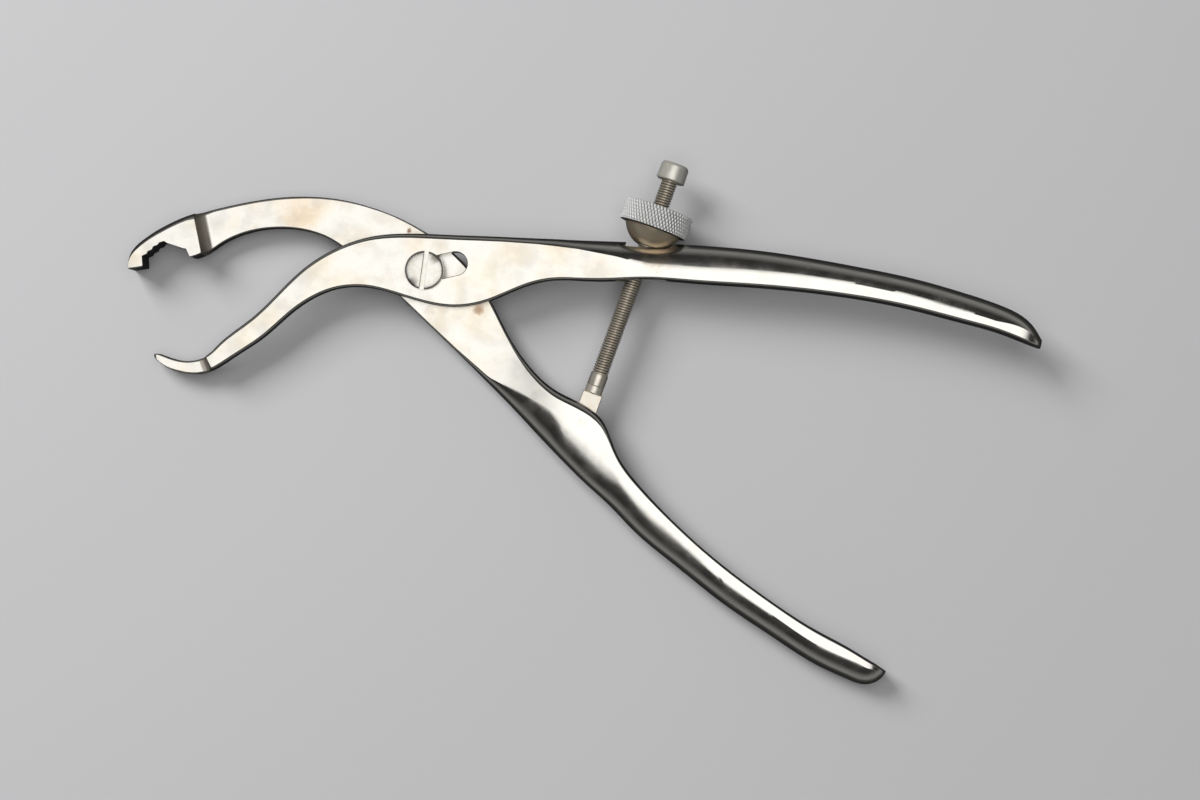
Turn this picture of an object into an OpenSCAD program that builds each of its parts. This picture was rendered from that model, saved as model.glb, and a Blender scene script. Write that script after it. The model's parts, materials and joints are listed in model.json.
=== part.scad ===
// Bone-holding forceps with a sliding pivot and a screw-and-nut lock.
// Two levers cross at a lap joint: the hooked lever lies on top, the clawed lever below.
// Origin: on the pivot axis, in the plane of the clawed lever's underside.
// +X runs towards the handles, +Y towards the nut's side, +Z up out of the flat of the levers.

/* [Levers] */
// Full thickness of the handles and of the claw head
lever_t = 10; // [9.8:0.1:10.2]
// Gap between the two flat plates at the lap joint
plate_gap = 0.1; // [0.06:0.02:0.16]
// Thickness of the hook's tip, centred on the claw
hook_t = 4.8; // [4:0.2:5.4]

/* [Pivot] */
// Diameter of the domed screw head
screw_head_d = 11.7; // [11:0.1:12.4]
// Height of the domed screw head
screw_head_h = 2.6; // [2:0.1:3.2]
// Diameter of the screw's stem
stem_d = 7; // [6.6:0.1:7.2]
// Width of the screwdriver slot
driver_slot_w = 1.6; // [1.2:0.1:2]
// Depth of the screwdriver slot
driver_slot_depth = 1.3; // [1:0.1:1.6]
// Distance between the pivot's two positions
shift = 9.5; // [8.5:0.1:9.5]
// Direction of the pivot slot from +X, in degrees
shift_angle = 12.7; // [11:0.1:14]

/* [Spindle] */
// Outer diameter of the spindle's thread
thread_d = 5; // [4.9:0.05:5]
// Diameter of the plain shank below the thread
shank_d = 5.4; // [5.2:0.1:5.4]
// Width of the flat foot in the clawed lever's fork
foot_w = 6.2; // [5.8:0.1:6.4]
// Thickness of the flat foot
foot_t = 4; // [3.6:0.1:4]
// Diameter of the pin through the foot
pin_d = 3; // [2.8:0.1:3.2]
// Diameter of the stop cap at the spindle's free end
cap_d = 8.8; // [8:0.1:9.4]
// Length of the stop cap
cap_h = 5.4; // [4.8:0.1:6]

/* [Nut] */
// Diameter of the knurled ring
nut_d = 21.2; // [20:0.1:22]
// Height of the knurled ring
nut_h = 6.5; // [5.5:0.1:6.7]
// Radius of the ball-shaped seat washer under the ring
seat_r = 9.6; // [9.4:0.1:9.8]

/* [Hidden] */

eps = 0.01;
mid = lever_t / 2;
claw_plate_top = mid - plate_gap / 2;
hook_plate_low = mid + plate_gap / 2;
hook_low = mid - hook_t / 2;
hook_high = mid + hook_t / 2;

// Radial clearance of a pin that turns in its bore
run = 0.05;
// Clearance on each side of a part that slides or swings in a slot
side = 0.2;
// Clearance under a face that slides on another
lift = 0.05;

// The pivot screw's tail, spread into the claw lever's countersink
tail_r = 4.8;

// The spindle: a line at the levers' mid height, from its pin towards the nut
spindle_pin_at = [47.3, -45.6];
spindle_lean = 20;
foot_top = 9.4;
neck_top = 11.7;
thread_from = 15.7;
ring_from = 62.2;
seat_ball_at = 65.5;
seat_from = 56.6;
seat_to = ring_from - 0.1;
hub_r = 4.5;
hub_len = 2.2;
cap_from = 77.5;
spigot_d = 3;
spigot_len = 3.5;
rod_in_cap = 2.9;
seat_ball = concat(spindle_pin_at + seat_ball_at * [sin(spindle_lean), cos(spindle_lean)], mid);
seat_dish_r = seat_r + 0.45;
axis_bore_d = 2 * (thread_d / 2 + run);

// The levers' sections, from jaw tip to handle end. Each row holds the rounded outer edge
// [x, y], the flat inner edge [x, y], the underside, the top, and how deep the outer side
// is rounded.
HOOK_ROWS = [
    [-81.5, -24.9, -81.0, -26.0, hook_low + 1, hook_high - 1, 0.2],
    [-79.5, -25.3, -78.6, -28.5, hook_low, hook_high, 0.5],
    [-75.5, -26.6, -74.8, -30.2, hook_low, hook_high, 0.6],
    [-68.0, -26.2, -65.8, -30.6, hook_low, hook_high, 0.6],
    [-66.0, -25.2, -63.2, -29.4, 4, lever_t, 0.6],
    [-61.5, -21.7, -57.5, -25.9, hook_plate_low, lever_t, 0.6],
    [-52.4, -14.6, -48.5, -19.9, hook_plate_low, lever_t, 0.6],
    [-43.5, -6.1, -40.0, -12.5, hook_plate_low, lever_t, 0.6],
    [-35.0, 1.7, -32.5, -7.6, hook_plate_low, lever_t, 0.7],
    [-26.0, 7.0, -25.5, -5.2, hook_plate_low, lever_t, 0.8],
    [-16.4, 10.2, -17.0, -5.0, hook_plate_low, lever_t, 1.0],
    [-5.0, 11.2, -6.0, -7.9, hook_plate_low, lever_t, 1.2],
    [7.5, 10.8, 7.5, -10.9, hook_plate_low, lever_t, 1.2],
    [19.0, 10.4, 19.0, -9.2, hook_plate_low, lever_t, 1.2],
    [31.0, 9.9, 31.0, -4.4, hook_plate_low, lever_t, 1.6],
    [39.0, 9.6, 39.0, -2.8, hook_plate_low, lever_t, 2.1],
    [46.0, 9.3, 46.0, -2.8, 2, lever_t, 2.9],
    [54.0, 9.1, 54.0, -2.9, 0, lever_t, 3.9],
    [66.0, 8.7, 66.0, -2.5, 0, lever_t, 6.0],
    [80.0, 8.0, 79.5, -3.4, 0, lever_t, 6.4],
    [96.0, 6.8, 95.0, -4.5, 0, lever_t, 5.6],
    [112.0, 4.7, 111.0, -5.8, 0, lever_t, 4.9],
    [130.0, 1.5, 128.5, -8.0, 0, lever_t, 4.5],
    [148.0, -2.3, 146.0, -11.3, 0, lever_t, 5.0],
    [164.0, -6.9, 162.0, -15.4, 0, lever_t, 5.3],
    [176.0, -11.2, 173.5, -18.6, 0.2, lever_t - 0.2, 4.8],
    [183.2, -16.2, 181.5, -21.7, 0.9, lever_t - 0.9, 3.4],
    [186.3, -20.8, 185.6, -23.4, 2.6, lever_t - 2.6, 1.4],
];
CLAW_ROWS = [
    [-89.0, 0.5, -89.3, 1.8, 0.3, lever_t - 0.3, 0.4],
    [-86.5, 0.8, -88.6, 5.0, 0, lever_t, 0.5],
    [-83.0, 1.5, -85.2, 9.1, 0, lever_t, 0.5],
    [-77.5, 2.8, -79.4, 13.0, 0, lever_t, 0.5],
    [-67.0, 5.1, -69.5, 17.3, 0, lever_t, 0.5],
    [-66.7, 5.2, -69.1, 17.4, 0, 8.3, 0.5],
    [-65.6, 5.9, -67.9, 17.8, 0, 6.2, 0.5],
    [-64.2, 6.9, -66.4, 18.3, 0, 5.2, 0.5],
    [-62.0, 8.3, -64.4, 18.7, 0, claw_plate_top, 0.5],
    [-54.5, 11.7, -56.5, 20.5, 0, claw_plate_top, 0.5],
    [-46.5, 13.1, -47.0, 22.1, 0, claw_plate_top, 0.5],
    [-38.5, 12.8, -36.5, 22.7, 0, claw_plate_top, 0.5],
    [-30.0, 10.3, -25.0, 21.6, 0, claw_plate_top, 0.6],
    [-21.5, 4.5, -13.0, 18.2, 0, claw_plate_top, 0.6],
    [-12.5, -3.3, -2.5, 13.3, 0, claw_plate_top, 0.7],
    [-5.0, -10.4, 6.5, 7.2, 0, claw_plate_top, 0.8],
    [2.5, -17.7, 14.3, -0.7, 0, claw_plate_top, 0.8],
    [10.0, -25.0, 20.0, -9.8, 0, claw_plate_top, 0.9],
    [17.5, -32.5, 25.0, -19.6, 0, 5.3, 1.6],
    [25.7, -40.8, 31.0, -28.4, 0, 8.4, 5.0],
    [34.7, -50.4, 39.5, -36.1, 0, lever_t, 9.5],
    [42.0, -58.0, 47.5, -40.2, 0, lever_t, 8.4],
    [48.5, -64.4, 53.7, -45.6, 0, lever_t, 8.8],
    [55.0, -70.3, 57.3, -54.2, 0, lever_t, 9.2],
    [63.0, -78.6, 63.7, -63.8, 0, lever_t, 8.8],
    [75.0, -88.6, 75.5, -76.3, 0, lever_t, 7.4],
    [89.0, -99.8, 89.5, -88.7, 0, lever_t, 6.0],
    [104.0, -110.0, 104.5, -100.2, 0, lever_t, 6.0],
    [118.0, -118.9, 118.5, -109.7, 0, lever_t, 5.3],
    [128.0, -123.6, 130.0, -116.0, 0.2, lever_t - 0.2, 4.0],
    [134.5, -124.9, 136.5, -119.4, 1.2, lever_t - 1.2, 3.0],
    [137.3, -123.2, 138.3, -121.2, 3.2, lever_t - 3.2, 1.0],
];
// The claw's bite, from the prong's point up its serrated flat and down to the heel
BITE = [
    [-84.5, 0], [-84.8, 4.4], [-83.4, 5.0], [-83.0, 5.8], [-81.8, 6.3], [-81.4, 7.2],
    [-80.1, 7.7], [-79.6, 8.4], [-78.2, 8.8], [-77.2, 8.2], [-72.6, 6.7], [-71.6, 6.5],
    [-70.5, 4.2], [-69.0, 4.0], [-69.0, 0],
];

// A curve through b and c; a and d are the points before and after them
function through(a, b, c, d, t) =
    0.5 * (2 * b + (c - a) * t + (2 * a - 5 * b + 4 * c - d) * t * t
           + (3 * b - a - 3 * c + d) * t * t * t);

// One section row at position t between rows i and i + 1: its edges on a curve, its
// heights and side depth on a straight line
function row_at(rows, i, t) =
    let (a = rows[max(i - 1, 0)], b = rows[i], c = rows[i + 1],
         d = rows[min(i + 2, len(rows) - 1)])
    [for (k = [0 : 6])
        k < 4 ? through(a[k], b[k], c[k], d[k], t) : b[k] + (c[k] - b[k]) * t];

function steps(rows, n) = [
    each [for (i = [0 : len(rows) - 2], j = [0 : n - 1]) row_at(rows, i, j / n)],
    rows[len(rows) - 1]
];

// x to the power p, keeping its sign
function signed_pow(x, p) = sign(x) * pow(abs(x), p);

// The closed outline of one row: a deep curve on its outer side, square on its inner side
function section(row) =
    let (outer = [row[0], row[1]], inner = [row[2], row[3]], w = norm(outer - inner),
         across = (outer - inner) / w, low = row[4], high = row[5],
         m = (low + high) / 2, h = (high - low) / 2, depth = min(row[6], 0.6 * w),
         inner_depth = min(0.7, 0.3 * w), n = max(2.2, 5 - depth))
    concat(
        [for (a = [90 : -22.5 : -90])
            let (p = inner + across * (w - depth + depth * pow(abs(cos(a)), 2 / n)))
            [p[0], p[1], m + h * signed_pow(sin(a), 2 / n)]],
        [for (a = [-90 : 45 : 90])
            let (p = inner + across * inner_depth * (1 - pow(abs(cos(a)), 0.5)))
            [p[0], p[1], m + h * signed_pow(sin(a), 0.5)]]);

// A solid through every section; flip reverses the faces where the sections turn the other way
module lever_body(rows, flip) {
    rings = [for (row = steps(rows, 2)) section(row)];
    n = len(rings[0]);
    last = len(rings) - 1;
    side_faces = [for (i = [0 : last - 1], j = [0 : n - 1])
        let (a = i * n + j, b = i * n + (j + 1) % n, c = b + n, d = a + n)
        each [[a, b, c], [a, c, d]]];
    faces = concat(side_faces, [[for (j = [n - 1 : -1 : 0]) j], [for (j = [0 : n - 1]) last * n + j]]);
    polyhedron(
        points = [for (ring = rings) each ring],
        faces = flip ? [for (f = faces) [for (k = [len(f) - 1 : -1 : 0]) f[k]]] : faces);
}

// Places its children on the spindle's axis, with +Z along it from the pin to the cap
module on_spindle(along = 0) {
    translate([spindle_pin_at[0], spindle_pin_at[1], mid])
        rotate([0, 0, -spindle_lean])
            rotate([-90, 0, 0])
                translate([0, 0, along])
                    children();
}

// An outline with two round ends, from the origin to a point along +X
function slot_outline(len, w) = concat(
    [for (a = [90 : 6 : 270]) w / 2 * [cos(a), sin(a)]],
    [for (a = [-90 : 6 : 90]) [len, 0] + w / 2 * [cos(a), sin(a)]]);

module hook_lever() {
    slot_w = stem_d + 2 * run;
    window_h = shank_d + 2 * run + 0.1;
    color("lightgray") difference() {
        lever_body(HOOK_ROWS, false);
        // Slot in which the pivot screw shifts
        rotate([0, 0, shift_angle])
            translate([0, 0, mid - 1])
                linear_extrude(lever_t)
                    polygon(slot_outline(shift, slot_w));
        // Window through which the spindle swings
        translate([0, 0, mid - window_h / 2])
            linear_extrude(window_h)
                polygon([[57.4, -5], [72.4, -5], [73.0, 12], [61.4, 12]]);
        // Dish in which the ball seat rests
        translate(seat_ball)
            sphere(r = seat_dish_r, $fn = 96);
    }
}

module claw_lever() {
    fork_w = foot_t + 2 * side;
    fork_r = foot_w / 2 + 0.6;
    over = 0.5;
    color("silver") difference() {
        lever_body(CLAW_ROWS, true);
        // Bite with its steps
        translate([0, 0, -1])
            linear_extrude(lever_t + 2)
                polygon(BITE);
        // Bore for the pivot screw, opening into a countersink for its tail
        rotate_extrude($fn = 96)
            polygon([[0, -over], [tail_r + run + over, -over], [stem_d / 2 + run, tail_r - stem_d / 2],
                [stem_d / 2 + run, lever_t], [0, lever_t]]);
        // Fork slot for the spindle's foot, open towards the other handle
        translate([spindle_pin_at[0], spindle_pin_at[1], mid - fork_w / 2])
            rotate([0, 0, -spindle_lean])
                linear_extrude(fork_w)
                    polygon(concat([for (a = [180 : 10 : 360]) fork_r * [cos(a), sin(a)]],
                        [[6.6, 10], [-6.6, 10]]));
        // Bore for the foot's pin, through both cheeks
        translate([spindle_pin_at[0], spindle_pin_at[1], -1])
            cylinder(r = pin_d / 2 + run, h = lever_t + 2, $fn = 48);
    }
}

module pivot_screw() {
    head_z = lever_t + lift;
    rim_h = 0.7;
    color("gainsboro") difference() {
        union() {
            translate([0, 0, head_z])
                rotate_extrude($fn = 96)
                    polygon(concat([[0, 0], [screw_head_d / 2, 0]],
                        [for (a = [0 : 10 : 90])
                            [screw_head_d / 2 * cos(a), rim_h + (screw_head_h - rim_h) * sin(a)]]));
            rotate_extrude($fn = 96)
                polygon([[0, 0], [tail_r, 0], [stem_d / 2, tail_r - stem_d / 2],
                    [stem_d / 2, head_z + 0.3], [0, head_z + 0.3]]);
        }
        rotate([0, 0, -8])
            translate([-driver_slot_w / 2, -screw_head_d, head_z + screw_head_h - driver_slot_depth])
                cube([driver_slot_w, 2 * screw_head_d, driver_slot_depth + 1]);
    }
}

module spindle_pin() {
    color("silver")
        translate([spindle_pin_at[0], spindle_pin_at[1], 0.1])
            cylinder(r = pin_d / 2, h = lever_t - 0.2, $fn = 48);
}

// A flat eye, rounded about the pin, with a round neck above it
module spindle_foot() {
    color("wheat") difference() {
        union() {
            translate([spindle_pin_at[0], spindle_pin_at[1], mid - foot_t / 2])
                rotate([0, 0, -spindle_lean])
                    linear_extrude(foot_t)
                        polygon(concat([for (a = [180 : 6 : 360]) foot_w / 2 * [cos(a), sin(a)]],
                            [[foot_w / 2, foot_top], [-foot_w / 2, foot_top]]));
            on_spindle(foot_top - 1)
                cylinder(r = foot_t / 2 - eps, h = 1.5, $fn = 48);
            on_spindle(foot_top)
                cylinder(r = shank_d / 2, h = neck_top - foot_top, $fn = 64);
        }
        on_spindle(neck_top - spigot_len)
            cylinder(r = spigot_d / 2 + eps, h = spigot_len + 1, $fn = 48);
        translate([spindle_pin_at[0], spindle_pin_at[1], 0])
            cylinder(r = pin_d / 2 + run, h = lever_t, $fn = 48);
    }
}

module spindle() {
    color("silver") {
        on_spindle(neck_top - spigot_len + eps)
            cylinder(r = spigot_d / 2, h = spigot_len, $fn = 48);
        on_spindle(neck_top)
            cylinder(r = shank_d / 2, h = thread_from - neck_top, $fn = 64);
        on_spindle(thread_from - eps)
            cylinder(r = thread_d / 2, h = cap_from + rod_in_cap - thread_from, $fn = 64);
    }
}

module stop_cap() {
    chamfer = 0.7;
    color("gainsboro")
        on_spindle(cap_from)
            rotate_extrude($fn = 72)
                polygon([[thread_d / 2 + eps, 0], [cap_d / 2 - 0.2, 0], [cap_d / 2, 0.2],
                    [cap_d / 2, cap_h - chamfer], [cap_d / 2 - chamfer, cap_h], [0, cap_h],
                    [0, rod_in_cap + eps], [thread_d / 2 + eps, rod_in_cap + eps]]);
}

// A truncated ball that swivels in the hook lever's dish and stays still while the nut turns
module nut_seat() {
    color("tan") difference() {
        intersection() {
            on_spindle(seat_ball_at)
                sphere(r = seat_r, $fn = 96);
            on_spindle(seat_from)
                cylinder(r = seat_r + 1, h = seat_to - seat_from, $fn = 96);
        }
        on_spindle(seat_from - 1)
            cylinder(d = axis_bore_d + 0.1, h = ring_from - seat_from + 2, $fn = 64);
        on_spindle(ring_from - hub_len - 0.1)
            cylinder(r = hub_r + run, h = hub_len + 1, $fn = 64);
    }
}

module knurled_nut() {
    chamfer = 0.6;
    color("whitesmoke")
        on_spindle(ring_from)
            rotate_extrude($fn = 120)
                polygon([[axis_bore_d / 2, -hub_len], [hub_r, -hub_len], [hub_r, 0],
                    [nut_d / 2 - chamfer, 0], [nut_d / 2, chamfer], [nut_d / 2, nut_h - chamfer],
                    [nut_d / 2 - chamfer, nut_h], [axis_bore_d / 2, nut_h]]);
}

hook_lever();
claw_lever();
pivot_screw();
spindle_pin();
spindle_foot();
spindle();
stop_cap();
nut_seat();
knurled_nut();
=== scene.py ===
"""Bone-holding forceps with a sliding pivot and a screw-and-nut lock: the visual model.

Every piece is built in the CAD frame. Lengths are in millimetres until a mesh is made.
"""

import json
import math

import bmesh
import bpy
import numpy as np
from mathutils import Matrix, Vector


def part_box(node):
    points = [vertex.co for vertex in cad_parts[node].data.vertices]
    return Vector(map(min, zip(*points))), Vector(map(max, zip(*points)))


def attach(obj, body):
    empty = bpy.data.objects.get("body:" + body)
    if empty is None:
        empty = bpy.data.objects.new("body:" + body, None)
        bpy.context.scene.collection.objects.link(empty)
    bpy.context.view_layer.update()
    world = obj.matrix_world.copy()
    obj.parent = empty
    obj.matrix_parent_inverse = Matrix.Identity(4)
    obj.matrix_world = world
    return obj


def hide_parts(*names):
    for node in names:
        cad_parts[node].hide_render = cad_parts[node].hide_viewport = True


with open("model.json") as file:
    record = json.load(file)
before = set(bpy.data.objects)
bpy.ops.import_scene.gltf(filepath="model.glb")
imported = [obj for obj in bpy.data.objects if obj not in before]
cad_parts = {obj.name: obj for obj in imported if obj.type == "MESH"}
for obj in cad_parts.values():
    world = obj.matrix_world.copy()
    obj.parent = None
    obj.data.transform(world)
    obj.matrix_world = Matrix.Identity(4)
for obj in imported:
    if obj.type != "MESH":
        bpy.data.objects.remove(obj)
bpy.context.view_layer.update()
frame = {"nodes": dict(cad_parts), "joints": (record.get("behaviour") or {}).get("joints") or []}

MM = 0.001

# ---------------------------------------------------------------- sizes from the frame

joints = {j["name"]: j for j in frame["joints"]}
PIN = Vector(joints["spindle_swing"]["pos_m"]) / MM
AXIS = Vector(joints["nut_spin"]["axis"]).normalized()
MID = PIN.z
LEVER_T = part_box("claw_lever")[1].z / MM
# Gap between the levers' ground plates
PLATE_GAP = 0.1
CLAW_PLATE_TOP = MID - PLATE_GAP / 2
HOOK_PLATE_LOW = MID + PLATE_GAP / 2
SHIFT_AXIS = Vector(joints["pivot_shift"]["axis"]).normalized()
# Distance between the pivot's two places
SHIFT = 9.5
# Centre of the seat's ball along the spindle, its radius, and the gap between it and its dish
BALL_AT, BALL_R, DISH_GAP = 65.0, 9.1, 0.45
PIVOT_HOLE_R = 3.55

# Local frame of the spindle: +Z along it from its pin, +X in the plane of the levers
ALONG = Matrix((
    (AXIS.y, 0, AXIS.x, PIN.x),
    (-AXIS.x, 0, AXIS.y, PIN.y),
    (0, -1, 0, PIN.z),
    (0, 0, 0, 1),
))
AT_PIN = Matrix.Translation((PIN.x, PIN.y, 0))


def along_spindle(node):
    """First and last distance of a CAD node along the spindle from its pin, and its radius."""
    local = ALONG.inverted()
    points = [local @ (v.co / MM) for v in frame["nodes"][node].data.vertices]
    radius = max(math.hypot(p.x, p.y) for p in points)
    return min(p.z for p in points), max(p.z for p in points), radius


# ---------------------------------------------------------------- mesh helpers

def new_object(name, bm):
    """A mesh object from a bmesh in millimetres."""
    bmesh.ops.recalc_face_normals(bm, faces=bm.faces)
    bmesh.ops.scale(bm, vec=(MM, MM, MM), verts=bm.verts)
    mesh = bpy.data.meshes.new(name)
    bm.to_mesh(mesh)
    bm.free()
    obj = bpy.data.objects.new(name, mesh)
    bpy.context.scene.collection.objects.link(obj)
    return obj


def boolean(obj, tools, operation="DIFFERENCE"):
    """Cuts each tool from the object, or joins it, then throws the tool away."""
    for tool in tools:
        step = obj.modifiers.new("step", "BOOLEAN")
        step.operation = operation
        step.solver = "EXACT"
        step.object = tool
        bpy.context.view_layer.update()
        result = obj.evaluated_get(bpy.context.evaluated_depsgraph_get())
        mesh = bpy.data.meshes.new_from_object(result)
        obj.modifiers.clear()
        obj.data = mesh
        bpy.data.objects.remove(tool)


def finish_piece(obj, node, body, material, sharp=28):
    """Clean smooth shading, one material, and the piece's place in the assembly."""
    bm = bmesh.new()
    bm.from_mesh(obj.data)
    bmesh.ops.remove_doubles(bm, verts=bm.verts, dist=2e-6)
    bmesh.ops.dissolve_degenerate(bm, edges=bm.edges, dist=1e-6)
    bmesh.ops.recalc_face_normals(bm, faces=bm.faces)
    bm.to_mesh(obj.data)
    bm.free()
    obj.data.name = obj.name
    obj.data.shade_smooth()
    obj.data.set_sharp_from_angle(angle=math.radians(sharp))
    obj.data.materials.clear()
    obj.data.materials.append(material)
    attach(obj, body)
    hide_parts(node)


def skin(bm, rings):
    """Quads between closed rings of points, with the two ends closed."""
    loops = [[bm.verts.new(p) for p in ring] for ring in rings]
    n = len(loops[0])
    for a, b in zip(loops, loops[1:]):
        for i in range(n):
            j = (i + 1) % n
            bm.faces.new((a[i], a[j], b[j], b[i]))
    bm.faces.new(loops[0][::-1])
    bm.faces.new(loops[-1])


def arc(r, first, last, step, middle=0):
    """Points of an arc about a middle on the X axis, for whole degrees from first to before last."""
    return [(middle + r * math.cos(math.radians(a)), r * math.sin(math.radians(a)))
            for a in range(first, last, step)]


def lathe(profile, segments, place):
    """A closed solid of revolution. The profile is [radius, height] pairs; radius 0 is the axis."""
    bm = bmesh.new()
    columns = []
    for k in range(segments):
        a = 2 * math.pi * k / segments
        columns.append([bm.verts.new(place @ Vector((r * math.cos(a), r * math.sin(a), z)))
                        for r, z in profile])
    n = len(profile)
    closed = profile[0][0] > 0
    for k in range(segments):
        a, b = columns[k], columns[(k + 1) % segments]
        for i in range(n if closed else n - 1):
            j = (i + 1) % n
            bm.faces.new((a[i], b[i], b[j], a[j]))
    bmesh.ops.remove_doubles(bm, verts=bm.verts, dist=1e-5)
    return bm


def rounded(profile, radii):
    """A [radius, height] outline with the corners named in radii, {index: radius}, rounded."""
    steps = 4
    out = []
    n = len(profile)
    for i, p in enumerate(profile):
        r = radii.get(i, 0)
        if not r:
            out.append(p)
            continue
        p, before, after = Vector(p), Vector(profile[i - 1]), Vector(profile[(i + 1) % n])
        start = p + (before - p).normalized() * r
        end = p + (after - p).normalized() * r
        for k in range(steps + 1):
            t = k / steps
            out.append(tuple(start * (1 - t) ** 2 + p * 2 * t * (1 - t) + end * t * t))
    return out


def offset_outline(outline, by):
    """A counter-clockwise outline moved outwards by a distance, corners kept sharp."""
    out = []
    n = len(outline)
    for i in range(n):
        a, b, c = Vector(outline[i - 1]), Vector(outline[i]), Vector(outline[(i + 1) % n])
        d1, d2 = (b - a).normalized(), (c - b).normalized()
        n1, n2 = Vector((d1.y, -d1.x)), Vector((d2.y, -d2.x))
        out.append(b + (n1 + n2) * (by / max(0.3, 1 + n1.dot(n2))))
    return out


def prism_cutter(outline, low, high, chamfer, place=Matrix()):
    """A prism that cuts a hole from low to high and leaves a chamfer at both faces."""
    over = 0.6
    layers = [(low - over, chamfer + over), (low + chamfer, 0),
              (high - chamfer, 0), (high + over, chamfer + over)]
    bm = bmesh.new()
    skin(bm, [[place @ Vector((p.x, p.y, z)) for p in offset_outline(outline, by)]
              for z, by in layers])
    return new_object("cutter", bm)


# ---------------------------------------------------------------- the levers' bodies

def smooth_through(knots, rows):
    """A smooth curve through rows of numbers; returns a function of the knot value."""
    t, y = np.array(knots, float), np.array(rows, float)
    n = len(t)
    h = np.diff(t)
    a = np.eye(n)
    r = np.zeros_like(y)
    for i in range(1, n - 1):
        a[i, i - 1:i + 2] = h[i - 1], 2 * (h[i - 1] + h[i]), h[i]
        r[i] = 6 * ((y[i + 1] - y[i]) / h[i] - (y[i] - y[i - 1]) / h[i - 1])
    bend = np.linalg.solve(a, r)

    def at(x):
        i = int(np.clip(np.searchsorted(t, x) - 1, 0, n - 2))
        u, v, w = t[i + 1] - x, x - t[i], h[i]
        return ((bend[i] * u ** 3 + bend[i + 1] * v ** 3) / (6 * w)
                + (y[i] / w - bend[i] * w / 6) * u + (y[i + 1] / w - bend[i + 1] * w / 6) * v)
    return at


def ease(x, start, end):
    """0 before start, 1 after end, smooth between."""
    t = min(1, max(0, (x - start) / (end - start)))
    return t * t * (3 - 2 * t)


def between(table, x):
    """Looks x up in [x, value, ...] rows, straight between them."""
    xs = [row[0] for row in table]
    return [float(np.interp(x, xs, [row[k] for row in table])) for k in range(1, len(table[0]))]


# Height of the edges' ellipse for each unit of their depth: the flat cuts it at a crease
CREASE = 1.12
# Most of a section's width that each edge may take, and most of its height for all of them
EDGE_SHARES = (0.76, 0.76, 0.2, 0.2)
DEPTH_SHARE = 0.5
SECTION_STEP = 1.0


def corner(width, depth, steps):
    """A convex edge from its crease on a flat to the wall: [inset, drop] pairs.
    It is part of an ellipse that a flat has been ground across."""
    first = math.asin(1 / CREASE)
    half = width / (1 - math.cos(first))
    points = []
    for k in range(steps + 1):
        a = first * (1 - k / steps)
        points.append((half * (1 - math.cos(a)), depth - depth * CREASE * math.sin(a)))
    return points


def section(outer, inner, low, high, edges):
    """A closed ring of points. Edges are (width, depth) pairs: outer top, outer low,
    inner low, inner top."""
    span = Vector(outer) - Vector(inner)
    wide = span.length
    span.normalize()
    flat_steps, wall_steps, outer_steps, inner_steps = 10, 3, 12, 9
    ring = []

    def add(w, z):
        ring.append(Vector((inner[0] + span.x * w, inner[1] + span.y * w, z)))

    def straight(a, b, steps):
        for k in range(1, steps):
            add(a[0] + (b[0] - a[0]) * k / steps, a[1] + (b[1] - a[1]) * k / steps)

    outer_top, outer_low, inner_low, inner_top = edges
    top_out = [(wide - i, high - d) for i, d in corner(*outer_top, outer_steps)]
    low_out = [(wide - i, low + d) for i, d in corner(*outer_low, outer_steps)][::-1]
    low_in = [(i, low + d) for i, d in corner(*inner_low, inner_steps)]
    top_in = [(i, high - d) for i, d in corner(*inner_top, inner_steps)][::-1]
    groups = [top_out, low_out, low_in, top_in]
    between_steps = [wall_steps, flat_steps, wall_steps, flat_steps]
    for group, after, steps in zip(groups, groups[1:] + groups[:1], between_steps):
        for w, z in group:
            add(w, z)
        straight(group[-1], after[0], steps)
    return ring


def lever(name, outline, heights, edges_at, marks):
    """Skins a lever through sections set by its middle's x. Marks are x values that need
    their own section."""
    rows = np.array(outline, float)
    middle = (rows[:, :2] + rows[:, 2:]) / 2
    knots = np.concatenate([[0], np.cumsum(np.linalg.norm(np.diff(middle, axis=0), axis=1))])
    curve = smooth_through(knots, rows)

    def row_at(x):
        lo, hi = 0, knots[-1]
        for _ in range(40):
            t = (lo + hi) / 2
            row = curve(t)
            if row[0] + row[2] < 2 * x:
                lo = t
            else:
                hi = t
        return curve((lo + hi) / 2)

    first, last = middle[0][0], middle[-1][0]
    count = int((last - first) / SECTION_STEP)
    xs = sorted(set([round(first + (last - first) * k / count, 4) for k in range(count + 1)]
                    + [round(m, 4) for m in marks]))
    rings = []
    for x in xs:
        row = row_at(x)
        low, high = heights(x)
        wide = math.dist(row[:2], row[2:])
        edges = [(min(w, share * wide), min(d, DEPTH_SHARE * (high - low)))
                 for share, (w, d) in zip(EDGE_SHARES, edges_at(x))]
        rings.append(section(row[:2], row[2:], low, high, edges))
    bm = bmesh.new()
    skin(bm, rings)
    return new_object(name, bm)


def grow(start, end):
    """Section places crowded towards the end of a round end."""
    n = 20
    return [start + (end - start) * math.sin(math.pi / 2 * k / n) for k in range(n + 1)]


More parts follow.
